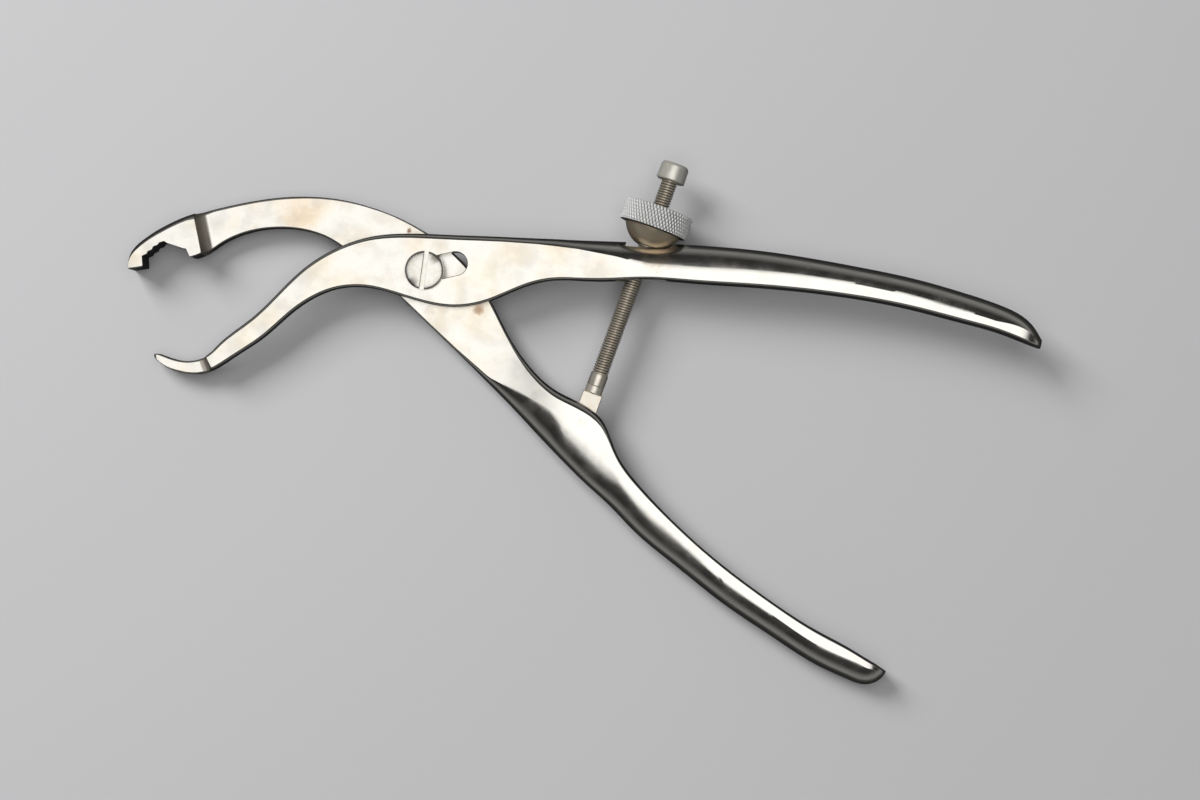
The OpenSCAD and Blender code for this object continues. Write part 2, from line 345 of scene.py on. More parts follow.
# Each row is a point on the rounded outer edge and one on the flat inner edge
HOOK_OUTLINE = [
    (-81.9, -25.1, -81.95, -25.7), (-81.3, -24.9, -81.1, -26.6), (-79.7, -25.2, -78.9, -28.4),
    (-75.5, -26.6, -74.8, -30.2),
    (-70.0, -27.0, -68.6, -31.0), (-65.7, -25.6, -63.7, -29.6), (-61.5, -21.7, -57.5, -25.9),
    (-52.4, -14.6, -48.5, -19.9), (-43.5, -6.1, -40.0, -12.5), (-35.0, 1.7, -32.5, -7.6),
    (-26.0, 7.0, -25.5, -5.2), (-16.4, 10.2, -17.0, -5.0), (-5.0, 11.2, -6.0, -7.9),
    (7.5, 10.8, 7.5, -10.9), (19.0, 10.4, 19.0, -9.2), (31.0, 9.9, 31.0, -4.4),
    (39.0, 9.6, 39.0, -2.8), (46.0, 9.3, 46.0, -2.8), (54.0, 9.1, 54.0, -2.9),
    (66.0, 8.7, 66.0, -2.5), (80.0, 8.0, 79.5, -3.4), (96.0, 6.8, 95.0, -4.5),
    (112.0, 4.7, 111.0, -5.8), (130.0, 1.5, 128.5, -8.0), (148.0, -2.3, 146.0, -11.3),
    (164.0, -6.9, 162.0, -15.4), (176.0, -11.2, 173.5, -18.6), (183.2, -16.2, 181.5, -21.7),
    (186.2, -20.8, 185.4, -23.4),
]
CLAW_OUTLINE = [
    (-88.9, 0.5, -89.2, 1.8), (-86.5, 0.8, -88.6, 5.0), (-83.0, 1.5, -85.2, 9.1),
    (-77.5, 2.8, -79.4, 13.0), (-67.0, 5.1, -69.5, 17.3), (-62.0, 8.3, -64.4, 18.7),
    (-54.5, 11.7, -56.5, 20.5), (-46.5, 13.1, -47.0, 22.1), (-38.5, 12.8, -36.5, 22.7),
    (-30.0, 10.3, -25.0, 21.6), (-21.5, 4.5, -13.0, 18.2), (-12.5, -3.3, -2.5, 13.3),
    (-5.0, -10.4, 6.5, 7.2), (2.5, -17.7, 14.3, -0.7), (10.0, -25.0, 20.0, -9.8),
    (17.5, -32.5, 25.0, -19.6), (25.7, -40.8, 31.0, -28.4), (34.7, -50.4, 39.5, -36.1),
    (42.0, -58.0, 47.5, -40.2), (48.5, -64.4, 53.7, -45.6), (55.0, -70.3, 57.3, -54.2),
    (63.0, -78.6, 63.7, -63.8), (75.0, -88.6, 75.5, -76.3), (89.0, -99.8, 89.5, -88.7),
    (104.0, -110.0, 104.5, -99.9), (118.0, -118.9, 118.5, -108.9),
    (128.0, -123.5, 129.0, -114.6), (132.6, -124.8, 133.9, -117.6), (135.8, -124.1, 136.6, -119.2),
    (137.9, -122.5, 138.4, -120.4), (138.8, -121.4, 139.0, -120.8),
]

# The steps between the jaws and their arms, and the fillets at them
HOOK_TIP_T = 4.8
HOOK_STEP_X = -64.7
HOOK_FILLET = 2.0
CLAW_STEP_X = -68.25
CLAW_FILLET = 3.6
# How much each face of the claw's point falls away
CLAW_POINT_FALL = 0.35


def end_round(x, start, end):
    """1 along a lever and falling to nearly 0 on a quarter ellipse between start and end."""
    t = min(1, max(0, (x - start) / (end - start)))
    return math.sqrt(max(0.002, 1 - t ** 2.4))


def hook_heights(x):
    """Low and high faces of the hooked lever: a thin jaw, a lap plate and a full handle."""
    tip_low, tip_high = MID - HOOK_TIP_T / 2, MID + HOOK_TIP_T / 2
    u = min(1, max(0, (x - HOOK_STEP_X + HOOK_FILLET) / HOOK_FILLET))
    high = tip_high + (LEVER_T - tip_high) * (1 - math.sqrt(1 - u * u))
    low = tip_low + (HOOK_PLATE_LOW - tip_low) * ease(x, -68, -57)
    low *= 1 - ease(x, 37, 57)
    near_tip = end_round(-x, 80.9, 82.0)
    near_end = end_round(x, 179, 186.1)
    if near_tip < 1:
        low, high = MID - (MID - low) * near_tip, MID + (high - MID) * near_tip
    return MID - (MID - low) * near_end, MID + (high - MID) * near_end


# Each row is x, then the outer edges' width and depth, then the inner edges'
HOOK_EDGES = [
    (-82, 0.3, 0.3, 0.3, 0.3), (-76, 0.5, 0.5, 0.5, 0.5), (-66, 0.55, 0.6, 0.55, 0.6),
    (-60, 0.8, 0.9, 0.7, 0.8), (-20, 1.15, 1.2, 0.7, 0.8), (0, 1.5, 1.6, 0.8, 0.9),
    (24, 1.6, 1.9, 0.8, 0.9), (34, 1.9, 2.3, 0.8, 0.9), (46, 2.85, 3.4, 0.7, 0.9),
    (58, 4.9, 5, 0.7, 0.9), (67, 7.2, 5, 0.7, 1.0), (82, 7.8, 5, 0.8, 1.2),
    (100, 7.1, 5, 0.9, 1.4), (113, 6.3, 5, 0.9, 1.4), (131, 5.6, 5, 0.9, 1.4),
    (145, 5.7, 5, 0.9, 1.4), (158, 5.9, 5, 0.9, 1.4), (172, 5.4, 5, 0.8, 1.2),
    (187, 2.0, 5, 0.5, 0.8),
]


def hook_edges(x):
    """The four edges at x. The low ones are nearly sharp where the plate is ground to mate."""
    outer_w, outer_d, inner_w, inner_d = between(HOOK_EDGES, x)
    outer, inner, ground = (outer_w, outer_d), (inner_w, inner_d), (0.3, 0.3)
    mated = ease(x, -66, -60) * (1 - ease(x, 34, 44))
    low_out = tuple(s + (g - s) * mated for s, g in zip(outer, ground))
    low_in = tuple(s + (g - s) * mated for s, g in zip(inner, ground))
    return [outer, low_out, low_in, inner]


def claw_heights(x):
    """Low and high faces of the clawed lever: a full jaw, a lap plate and a full handle."""
    if x < CLAW_STEP_X:
        high = LEVER_T
    else:
        u = min(1, (x - CLAW_STEP_X) / CLAW_FILLET)
        rise = LEVER_T - CLAW_PLATE_TOP
        high = CLAW_PLATE_TOP + rise * (1 - math.sqrt(1 - (1 - u) ** 2))
    if x > 0:
        high += (LEVER_T - CLAW_PLATE_TOP) * ease(x, 19, 42)
    near_end = end_round(x, 131, 138.9)
    near_tip = end_round(-x, 88.2, 89.6)
    fall = CLAW_POINT_FALL * (1 - near_tip)
    return MID - MID * near_end + fall, MID + (high - MID) * near_end - fall


CLAW_EDGES = [
    (-90, 0.35, 0.4, 0.9, 1.2), (-86, 0.35, 0.4, 1.4, 2.6), (-78, 0.35, 0.4, 1.7, 3.0),
    (-70.5, 0.35, 0.4, 1.6, 2.8), (-68.3, 0.4, 0.5, 1.9, 2.9), (-66, 0.4, 0.5, 1.2, 1.8),
    (-63, 0.45, 0.5, 0.8, 1.0), (-40, 0.45, 0.5, 0.7, 0.9), (-15, 0.45, 0.5, 0.35, 0.5),
    (5, 0.5, 0.6, 0.7, 0.8), (14, 0.7, 0.8, 0.7, 0.8),
    (22, 1.6, 2.2, 0.8, 1.0), (28, 4.6, 4.2, 1.4, 1.6), (37, 9.0, 5, 1.9, 2.2),
    (45, 10.0, 5, 2.0, 2.2), (52, 10.4, 5, 1.8, 2.0), (57, 10.7, 5, 1.3, 1.8),
    (64, 10.1, 5, 1.0, 1.6), (75, 8.9, 5, 0.7, 1.2), (90, 7.0, 5, 0.6, 1.0),
    (104, 6.7, 5, 0.5, 0.9), (118, 6.3, 5, 0.5, 0.9), (130, 6.2, 5, 0.5, 0.9),
    (136, 4.6, 5, 0.5, 0.8), (138.5, 0.6, 3, 0.2, 0.3),
]


def claw_edges(x):
    outer_w, outer_d, inner_w, inner_d = between(CLAW_EDGES, x)
    outer, inner = (outer_w, outer_d), (inner_w, inner_d)
    return [outer, outer, inner, inner]


# The claw's bite, from the prong's point up its serrated flat and down to the heel
BITE = [
    (-69.0, 0), (-69.0, 4.0), (-70.5, 4.2), (-71.6, 6.5), (-72.6, 6.7), (-77.2, 8.2),
    (-78.2, 8.8), (-79.6, 8.4), (-80.1, 7.7), (-81.4, 7.2), (-81.8, 6.3), (-83.0, 5.8),
    (-83.4, 5.0), (-84.8, 4.4), (-84.5, 0),
]


def shift_slot():
    """Slot in which the pivot screw shifts."""
    outline = arc(PIVOT_HOLE_R, 90, 271, 6) + arc(PIVOT_HOLE_R, -90, 91, 6, SHIFT)
    turn = Matrix.Rotation(math.atan2(SHIFT_AXIS.y, SHIFT_AXIS.x), 4, "Z")
    return prism_cutter(outline, HOOK_PLATE_LOW, LEVER_T, 0.18, turn)


def spindle_window():
    """Window through which the spindle swings, flared on the levers' inner side."""
    half_t = 2.8
    rings = []
    # Each row is y, the window's two ends, and how much it is flared there
    for y, x0, x1, flare in ((-5, 57.4, 72.4, 1.5), (-2.9, 57.6, 72.4, 0.45), (-2.3, 57.8, 72.4, 0),
                             (12, 61.4, 73.0, 0)):
        half = half_t + flare
        rings.append([Vector((x, y, MID + z)) for x, z in
                      ((x0 - flare, -half), (x1 + flare, -half), (x1 + flare, half),
                       (x0 - flare, half))])
    bm = bmesh.new()
    skin(bm, rings)
    return new_object("cutter", bm)


def seat_dish():
    """Dish in which the ball seat rests."""
    bm = bmesh.new()
    bmesh.ops.create_uvsphere(bm, u_segments=96, v_segments=64, radius=BALL_R + DISH_GAP,
                              matrix=Matrix.Translation(ALONG @ Vector((0, 0, BALL_AT))))
    return new_object("cutter", bm)


def hook_lever(material):
    marks = ([HOOK_STEP_X - HOOK_FILLET * (1 - math.sin(math.pi / 2 * k / 12)) for k in range(13)]
             + [HOOK_STEP_X + 0.05, HOOK_STEP_X + 0.3]
             + grow(182, 185.75) + [-x for x in grow(79, 81.9)])
    obj = lever("hook_lever_body", HOOK_OUTLINE, hook_heights, hook_edges, marks)
    boolean(obj, [shift_slot(), spindle_window(), seat_dish()])
    finish_piece(obj, "hook_lever", "hook_lever", material, sharp=17)


def pin_cutter(r, segments):
    """Cuts a hole for the spindle's pin right through a piece."""
    return new_object("cutter", lathe(
        [(0, -1), (r, -1), (r, LEVER_T + 1), (0, LEVER_T + 1)], segments, AT_PIN))


def foot_fork():
    """Slot in the boss in which the spindle's foot swings."""
    half_t = 2.2
    outline = arc(3.7, 180, 361, 10) + [(6.6, 10), (-6.6, 10)]
    place = AT_PIN @ Matrix.Rotation(-math.atan2(AXIS.x, AXIS.y), 4, "Z")
    bm = bmesh.new()
    skin(bm, [[place @ Vector((x, y, MID + z)) for x, y in outline] for z in (-half_t, half_t)])
    return new_object("cutter", bm)


def claw_lever(material):
    marks = ([CLAW_STEP_X + CLAW_FILLET * (1 - math.cos(math.pi / 2 * k / 20)) for k in range(21)]
             + [CLAW_STEP_X - 0.05, CLAW_STEP_X - 0.3]
             + grow(134, 138.85) + [-x for x in grow(84, 89.0)])
    obj = lever("claw_lever_body", CLAW_OUTLINE, claw_heights, claw_edges, marks)
    bite = prism_cutter(BITE, 0, LEVER_T, 0.08)
    # The pivot's bore, countersunk from below for the screw's spread tail
    bore = new_object("cutter", lathe(
        [(0, -0.5), (5.35, -0.5), (PIVOT_HOLE_R, 1.3), (PIVOT_HOLE_R, 7), (0, 7)], 96, Matrix()))
    boolean(obj, [bite, bore, foot_fork(), pin_cutter(1.506, 64)])
    finish_piece(obj, "claw_lever", "claw_lever", material, sharp=17)


# ---------------------------------------------------------------- screw, pin and spindle

def pivot_screw(material):
    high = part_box("pivot_screw")[1]
    head_r, head_top = high.x / MM, high.z / MM
    head_low = head_top - 2.6
    shank_r, rim, rim_round, dome_h = 3.5, 0.7, 0.25, 0.6
    # A shallow dome that ends in a rounded rim
    shoulder = head_r - rim_round
    crown = head_top - head_low - rim
    dome = ([(shoulder + rim_round * math.cos(math.radians(a)),
              head_low + rim + (crown - dome_h) * math.sin(math.radians(a)))
             for a in range(6, 80, 9)]
            + [(shoulder * math.cos(math.radians(a)),
                head_top - dome_h + dome_h * math.sin(math.radians(a)))
               for a in range(8, 91, 4)])
    profile = ([(0, 0), (4.7, 0), (4.75, 0.05), (shank_r, 1.3), (shank_r, head_low),
                (head_r - 0.2, head_low), (head_r, head_low + 0.2), (head_r, head_low + rim)]
               + dome[:-1] + [(0, head_top)])
    obj = new_object("pivot_screw_body", lathe(profile, 128, Matrix()))
    # The driver's slot
    half, depth, inside = 0.8, 1.3, 0.15
    turn = Matrix.Rotation(math.radians(-8), 4, "Z")
    bottom = head_top - depth
    shape = [(-half + inside, bottom), (half - inside, bottom), (half, bottom + inside),
             (half, head_top + 1), (-half, head_top + 1), (-half, bottom + inside)]
    bm = bmesh.new()
    skin(bm, [[turn @ Vector((x, y, z)) for x, z in shape] for y in (-8, 8)])
    boolean(obj, [new_object("cutter", bm)])
    finish_piece(obj, "pivot_screw", "pivot_screw", material)


def spindle_pin(material):
    r, c = 1.5, 0.01
    low, high = 0.005, LEVER_T - 0.005
    profile = [(0, low), (r - c, low), (r, low + c), (r, high - c), (r - c, high), (0, high)]
    obj = new_object("spindle_pin_body", lathe(profile, 64, AT_PIN))
    finish_piece(obj, "spindle_pin", "spindle_pin", material)


SHANK_R = 2.7


def spindle_foot(material):
    neck_top = along_spindle("spindle_foot")[1] - 0.03
    foot_r, half_t, foot_top, chamfer = 3.1, 2.0, 9.4, 0.25
    outline = arc(foot_r, 180, 361, 6) + [(foot_r, foot_top), (-foot_r, foot_top)]
    rings = []
    for y, by in ((-half_t, -chamfer), (-half_t + chamfer, 0), (half_t - chamfer, 0),
                  (half_t, -chamfer)):
        rings.append([ALONG @ Vector((p.x, -y, p.y)) for p in offset_outline(outline, by)])
    bm = bmesh.new()
    skin(bm, rings)
    obj = new_object("spindle_foot_body", bm)
    neck = new_object("cutter", lathe(
        rounded([(0, foot_top - 2), (half_t - 0.05, foot_top - 2), (half_t - 0.05, foot_top - 0.35),
                 (SHANK_R, foot_top + 0.15), (SHANK_R, neck_top), (0, neck_top)],
                {4: 0.15}), 96, ALONG))
    boolean(obj, [neck], "UNION")
    boolean(obj, [pin_cutter(1.55, 48)])
    finish_piece(obj, "spindle_foot", "spindle", material)


THREAD_PITCH = 0.8


def thread(start, end, major_r):
    """A right-hand thread as one closed solid between two flat ends."""
    depth = 0.45
    # One turn's profile: share of the pitch, share of the depth
    shape = [(0.0, 0.0), (0.08, 0.05), (0.16, 0.35), (0.24, 0.72), (0.33, 0.92), (0.43, 1.0),
             (0.55, 1.0), (0.65, 0.92), (0.74, 0.72), (0.82, 0.35), (0.9, 0.05)]
    segments = 64
    turns = int((end - start) / THREAD_PITCH) + 3
    bm = bmesh.new()
    rows = []
    for turn in range(turns):
        for share, lift in shape:
            rows.append((start + (turn - 1.5 + share) * THREAD_PITCH, major_r - depth * (1 - lift)))
    grid = []
    for k in range(segments):
        a = 2 * math.pi * k / segments
        rise = THREAD_PITCH * k / segments
        grid.append([bm.verts.new((r * math.cos(a), r * math.sin(a), z + rise)) for z, r in rows])
    per_turn = len(shape)
    for k in range(segments):
        wrap = per_turn if k == segments - 1 else 0
        a, b = grid[k], grid[(k + 1) % segments]
        for i in range(len(rows) - 1 - per_turn):
            bm.faces.new((a[i], a[i + 1], b[i + 1 + wrap], b[i + wrap]))
    for z, normal in ((start, -1), (end, 1)):
        cut = bmesh.ops.bisect_plane(bm, geom=bm.verts[:] + bm.edges[:] + bm.faces[:],
                                     plane_co=(0, 0, z), plane_no=(0, 0, normal), clear_outer=True)
        edges = [e for e in cut["geom_cut"] if isinstance(e, bmesh.types.BMEdge)]
        bmesh.ops.contextual_create(bm, geom=edges)
    bmesh.ops.transform(bm, matrix=ALONG, verts=bm.verts)
    return bm


def spindle(material):
    end = along_spindle("spindle")[1]
    neck_top = along_spindle("spindle_foot")[1]
    thread_from, thread_r, core_r, spigot_r = 15.7, 2.5, 2.15, 1.45
    obj = new_object("spindle_body", thread(thread_from - 0.6, end, thread_r))
    shank = new_object("cutter", lathe(
        rounded([(0, neck_top - 3), (spigot_r, neck_top - 3), (spigot_r, neck_top + 0.03),
                 (SHANK_R, neck_top + 0.03), (SHANK_R, thread_from - 0.3), (core_r, thread_from + 0.1),
                 (0, thread_from + 0.1)], {3: 0.15, 4: 0.2}), 96, ALONG))
    boolean(obj, [shank], "UNION")
    finish_piece(obj, "spindle", "spindle", material, sharp=50)


def stop_cap(material):
    start, end, r = along_spindle("stop_cap")
    bore_r, bore_end = 2.52, end - 2.5
    profile = rounded(
        [(bore_r, start), (r - 0.3, start), (r, start + 0.35), (r - 0.15, end - 0.65),
         (r - 0.7, end), (0, end), (0, bore_end), (bore_r, bore_end)],
        {1: 0.1, 2: 0.2, 3: 0.25, 4: 0.25})
    obj = new_object("stop_cap_body", lathe(profile, 96, ALONG))
    finish_piece(obj, "stop_cap", "spindle", material, sharp=45)


def nut_seat(material):
    """A ball cut flat at both ends, bored for the spindle and counterbored for the nut's hub."""
    low, high, _ = along_spindle("nut_seat")
    bore_r, socket_r, socket_depth = 2.62, 4.6, 2.25
    chamfer, steps = 0.25, 24
    ball = []
    for k in range(steps + 1):
        z = low + (high - chamfer - low) * k / steps
        ball.append((math.sqrt(BALL_R ** 2 - (z - BALL_AT) ** 2), z))
    profile = ([(bore_r, low), (ball[0][0] - chamfer, low)] + ball[1:]
               + [(ball[-1][0] - 0.2, high), (socket_r, high), (socket_r, high - socket_depth),
                  (bore_r, high - socket_depth)])
    obj = new_object("nut_seat_body", lathe(profile, 128, ALONG))
    finish_piece(obj, "nut_seat", "nut_seat", material, sharp=40)


# Grooves each way round the ring, their depth, and the grid's steps from one to the next
KNURL_STARTS = 60
KNURL_DEPTH = 0.5
KNURL_STEPS = 6


def knurled_nut(material):
    """The ring is a grid whose diagonals follow both families of grooves, so that every
    diamond has true edges."""
    start, top, r_out = along_spindle("knurled_nut")
    r_out -= 0.01
    hub_len, hub_r, bore_r = 2.2, 4.5, 2.55
    bevel_low, bevel_top = 0.2, 0.25
    helix = math.radians(30)
    low = start + hub_len
    count = KNURL_STARTS * KNURL_STEPS
    pitch = 2 * math.pi * r_out / KNURL_STARTS
    layers = int(round((top - low) / (pitch / math.tan(helix) / KNURL_STEPS)))
    rise = (top - low) / layers

    def groove(a, b):
        """Height of the knurl at a grid point, 0 in a groove and 1 on a tooth's rounded top."""
        one = abs(math.sin(math.pi * (a + b) / KNURL_STEPS))
        two = abs(math.sin(math.pi * (a - b) / KNURL_STEPS))
        return min(one, 0.25 + 0.75 * two) ** 0.9

    bm = bmesh.new()
    grid = []
    for b in range(layers + 1):
        z = low + b * rise
        ring = []
        edge = min(max(0, bevel_low - (z - low)), bevel_low) + max(0, bevel_top - (top - z))
        for a in range(count):
            r = min(r_out - KNURL_DEPTH * (1 - groove(a, b)), r_out - edge * 0.9)
            t = 2 * math.pi * a / count
            ring.append(bm.verts.new(ALONG @ Vector((r * math.cos(t), r * math.sin(t), z))))
        grid.append(ring)
    for b in range(layers):
        for a in range(count):
            c = (a + 1) % count
            p, q, s, t = grid[b][a], grid[b][c], grid[b + 1][c], grid[b + 1][a]
            if (a + b) % 2:
                bm.faces.new((p, q, t))
                bm.faces.new((q, s, t))
            else:
                bm.faces.new((p, q, s))
                bm.faces.new((p, s, t))

    def ring_at(r, z):
        return [bm.verts.new(ALONG @ Vector((r * math.cos(2 * math.pi * a / count),
                                             r * math.sin(2 * math.pi * a / count), z)))
                for a in range(count)]

    # The top face, the bore with its chamfer, the hub and the low face
    inner = [grid[-1], ring_at(r_out - 0.85, top), ring_at(bore_r + 0.5, top),
             ring_at(bore_r, top - 0.5), ring_at(bore_r, start), ring_at(hub_r - 0.2, start),
             ring_at(hub_r, start + 0.2), ring_at(hub_r, low), ring_at(r_out - 1.0, low), grid[0]]
    for one, two in zip(inner, inner[1:]):
        for a in range(count):
            c = (a + 1) % count
            bm.faces.new((one[a], one[c], two[c], two[a]))
    obj = new_object("knurled_nut_body", bm)
    finish_piece(obj, "knurled_nut", "knurled_nut", material, sharp=45)


# ---------------------------------------------------------------- materials

class Metal:
    """A node tree around one Principled shader, in millimetres of the object's own frame."""

    def __init__(self, name):
        self.material = bpy.data.materials.new(name)
        self.material.use_nodes = True
        self.tree = self.material.node_tree
        self.shader = self.tree.nodes["Principled BSDF"]
        self.shader.inputs["Metallic"].default_value = 1
        coordinates = self.add("ShaderNodeTexCoord")
        self.place = self.add("ShaderNodeVectorMath", {0: coordinates.outputs["Object"],
                                                       1: (1000, 1000, 1000)},
                              operation="MULTIPLY").outputs[0]

    def add(self, kind, inputs=None, **settings):
        node = self.tree.nodes.new(kind)
        for key, value in settings.items():
            setattr(node, key, value)
        for key, value in (inputs or {}).items():
            if isinstance(value, bpy.types.NodeSocket):
                self.tree.links.new(value, node.inputs[key])
            else:
                node.inputs[key].default_value = value
        return node

    def math(self, operation, a, b=0.0):
        return self.add("ShaderNodeMath", {0: a, 1: b}, operation=operation).outputs[0]

    def stretched(self, stretch, turn):
        """The place, squeezed along one axis and turned in the plane, for grain and scratches."""
        return self.add("ShaderNodeMapping", {"Vector": self.place, "Scale": stretch,
                                              "Rotation": (0, 0, math.radians(turn))}).outputs[0]

    def noise(self, scale, detail=3.0, roughness=0.5, at=None):
        return self.add("ShaderNodeTexNoise", {"Vector": at or self.place, "Scale": scale,
                                               "Detail": detail, "Roughness": roughness}).outputs[0]

    def fade(self, value, low, high, out_low=0.0, out_high=1.0, smooth=True):
        node = self.add("ShaderNodeMapRange", {0: value, 1: low, 2: high, 3: out_low, 4: out_high})
        node.interpolation_type = "SMOOTHSTEP" if smooth else "LINEAR"
        return node.outputs[0]

    def mix(self, factor, a, b):
        node = self.add("ShaderNodeMix", data_type="RGBA")
        for socket, value in ((0, factor), (6, a), (7, b)):
            if isinstance(value, bpy.types.NodeSocket):
                self.tree.links.new(value, node.inputs[socket])
            else:
                node.inputs[socket].default_value = value if socket == 0 else (*value, 1)
        return node.outputs[2]

    def spot(self, centre, radius):
        """1 in the middle of a blotch and 0 outside it, with a ragged edge."""
        wobble = 1.2
        away = self.add("ShaderNodeVectorMath", {0: self.place, 1: centre},
                        operation="DISTANCE").outputs["Value"]
        ragged = self.math("MULTIPLY_ADD", self.noise(0.7, 5, 0.65), wobble * radius)
        ragged.node.inputs[2].default_value = -wobble * radius / 2
        return self.fade(self.math("ADD", away, ragged), radius, radius * 0.25)

    def facing_up(self, low, high):
        """1 on faces that lie in the levers' plane and 0 on steep ones. The limits are the
        normal's share along Z."""
        normal = self.add("ShaderNodeNewGeometry").outputs["Normal"]
        z = self.add("ShaderNodeSeparateXYZ", {0: normal}).outputs["Z"]
        return self.fade(self.math("ABSOLUTE", z), low, high)

    def from_spindle(self):
        """Distance from the spindle's axis."""
        offset = self.add("ShaderNodeVectorMath", {0: self.place, 1: PIN},
                          operation="SUBTRACT").outputs[0]
        across = self.add("ShaderNodeVectorMath", {0: offset, 1: AXIS},
                          operation="CROSS_PRODUCT").outputs[0]
        return self.add("ShaderNodeVectorMath", {0: across}, operation="LENGTH").outputs["Value"]

    def bump(self, height, distance, strength):
        node = self.add("ShaderNodeBump", {"Height": height, "Strength": strength,
                                           "Distance": distance})
        self.tree.links.new(node.outputs[0], self.shader.inputs["Normal"])

    def set(self, **sockets):
        for key, value in sockets.items():
            name = {"color": "Base Color", "roughness": "Roughness"}[key]
            if isinstance(value, bpy.types.NodeSocket):
                self.tree.links.new(value, self.shader.inputs[name])
            else:
                self.shader.inputs[name].default_value = value
        return self.material


def lever_metal(name, polished_from, grain_turn, stains_and_reflections, step, step_length):
    """Satin stainless steel on the plates and jaws, polished on the handle, with painted shade on the
    steep sides, and duller and with painted shade in the fillet beside the jaw's step, which is a line
    through a point with a lean."""
    m = Metal(name)
    along = m.add("ShaderNodeSeparateXYZ", {0: m.place}).outputs["X"]
    polished = m.fade(along, polished_from, polished_from + 14)
    flat = m.facing_up(0.985, 0.9995)
    satin = m.math("MULTIPLY", flat, m.math("SUBTRACT", 1.0, polished))
    grain = m.noise(1.0, 2, 0.6, m.stretched((0.35, 9.0, 1.0), grain_turn))
    patches = m.noise(0.085, 4, 0.55)
    cool, warm = (0.82, 0.795, 0.735), (0.83, 0.75, 0.62)
    color = m.mix(m.math("MULTIPLY", m.fade(patches, 0.42, 0.72), satin), cool, warm)
    # Stains, and on the hooked lever a painted reflection, are spots mixed into the colour
    for centre, radius, spot_color, amount in stains_and_reflections:
        color = m.mix(m.math("MULTIPLY", m.spot(centre, radius), amount), color, spot_color)
    # Painted shade: the steep sides are darker than the flats
    color = m.mix(m.facing_up(0.5, 0.88), (0.36, 0.35, 0.33), color)
    smudge = m.noise(0.16, 5, 0.6)
    base = m.fade(satin, 0, 1, 0.17, 0.27, smooth=False)
    step_x, step_y, lean = step
    from_step = m.add("ShaderNodeVectorMath", {0: m.place, 1: (1, lean, 0)},
                      operation="DOT_PRODUCT").outputs["Value"]
    from_step = m.math("SUBTRACT", from_step, step_x + lean * step_y)
    fillet = m.math("MULTIPLY", m.fade(from_step, -0.1, 0.1),
                    m.fade(from_step, step_length, 0.5 * step_length))
    # Painted shade in the fillet: darker next to the step and fading out along it; its rougher finish
    # is real
    color = m.mix(m.math("MULTIPLY", fillet, 0.7), color, (0.62, 0.55, 0.45))
    base = m.math("MAXIMUM", base, m.math("MULTIPLY", fillet, 0.5))
    rough = m.math("ADD", base, m.fade(smudge, 0.35, 0.75, -0.03, 0.09))
    rough = m.math("ADD", rough, m.fade(grain, 0.3, 0.7, -0.02, 0.03))
    m.bump(grain, 0.000004, 0.35)
    return m.set(color=color, roughness=rough)


def screw_metal(name):
    """A turned screw head, with two dark fans near the rim painted into its colour as a painted
    reflection of its turning marks.
    """
    m = Metal(name)
    parts = m.add("ShaderNodeSeparateXYZ", {0: m.place}).outputs
    angle = m.math("ARCTAN2", parts["Y"], parts["X"])
    lobes = m.math("COSINE", m.math("MULTIPLY", m.math("SUBTRACT", angle, math.radians(46)), 2.0))
    flat_place = m.add("ShaderNodeVectorMath", {0: m.place, 1: (1, 1, 0)},
                       operation="MULTIPLY").outputs[0]
    radius = m.add("ShaderNodeVectorMath", {0: flat_place}, operation="LENGTH").outputs["Value"]
    fans = m.math("MULTIPLY", m.fade(lobes, 0.72, 1.0), m.fade(radius, 2.4, 5.2))
    turned = m.math("SINE", m.math("MULTIPLY", radius, 28.0))
    m.bump(turned, 0.000004, 0.4)
    worn = m.mix(m.fade(m.noise(0.5, 4, 0.6), 0.4, 0.7), (0.80, 0.78, 0.72), (0.74, 0.70, 0.61))
    # The dark fans are painted reflection mixed into the head's colour
    return m.set(color=m.mix(m.math("MULTIPLY", fans, 0.85), worn, (0.20, 0.18, 0.15)),
                 roughness=0.27)


def plain_metal(name, color, tint, rough, metallic=1.0, groove_shade=None, grooves=None):
    """A turned steel part with a slight colour drift and a fine grain. Groove shade is painted shade,
    its colour in grooves, which reach in from the second to the first of two distances from the
    spindle."""
    m = Metal(name)
    drift = m.fade(m.noise(0.4, 4, 0.6), 0.35, 0.7)
    fine = m.noise(2.0, 3, 0.6)
    m.bump(fine, 0.000006, 0.3)
    m.shader.inputs["Metallic"].default_value = metallic
    shade = m.mix(drift, color, tint)
    if groove_shade:
        # Painted shade: darker in the grooves, near the spindle's axis
        shade = m.mix(m.fade(m.from_spindle(), grooves[0], grooves[1]), groove_shade, shade)
    return m.set(color=shade,
                 roughness=m.fade(fine, 0.3, 0.7, rough - 0.04, rough + 0.06))


RUST = (0.32, 0.17, 0.08)
STRAW = (0.80, 0.60, 0.38)
# Each stain, or painted reflection, is its middle, radius, colour and strength
HOOK_STAINS_AND_REFLECTION = [
    ((-3, 8, LEVER_T), 5.0, (0.86, 0.70, 0.52), 0.35),
    ((17, -1, LEVER_T), 7.0, (0.85, 0.78, 0.60), 0.35),
    # Painted reflection: the brown seat mirrored in the handle's dish and the side below it
    ((70, 6, 9), 8.0, (0.55, 0.38, 0.22), 0.5),
]
CLAW_STAINS = [
    ((16.0, -11.5, CLAW_PLATE_TOP), 2.2, RUST, 0.75),
    ((-5.0, 12.3, CLAW_PLATE_TOP), 1.0, (0.25, 0.12, 0.07), 0.9),
    ((1.0, -12.0, CLAW_PLATE_TOP), 2.5, (0.62, 0.55, 0.44), 0.5),
    ((-38.0, 18.0, CLAW_PLATE_TOP), 9.0, STRAW, 0.45),
]

# ---------------------------------------------------------------- assembly

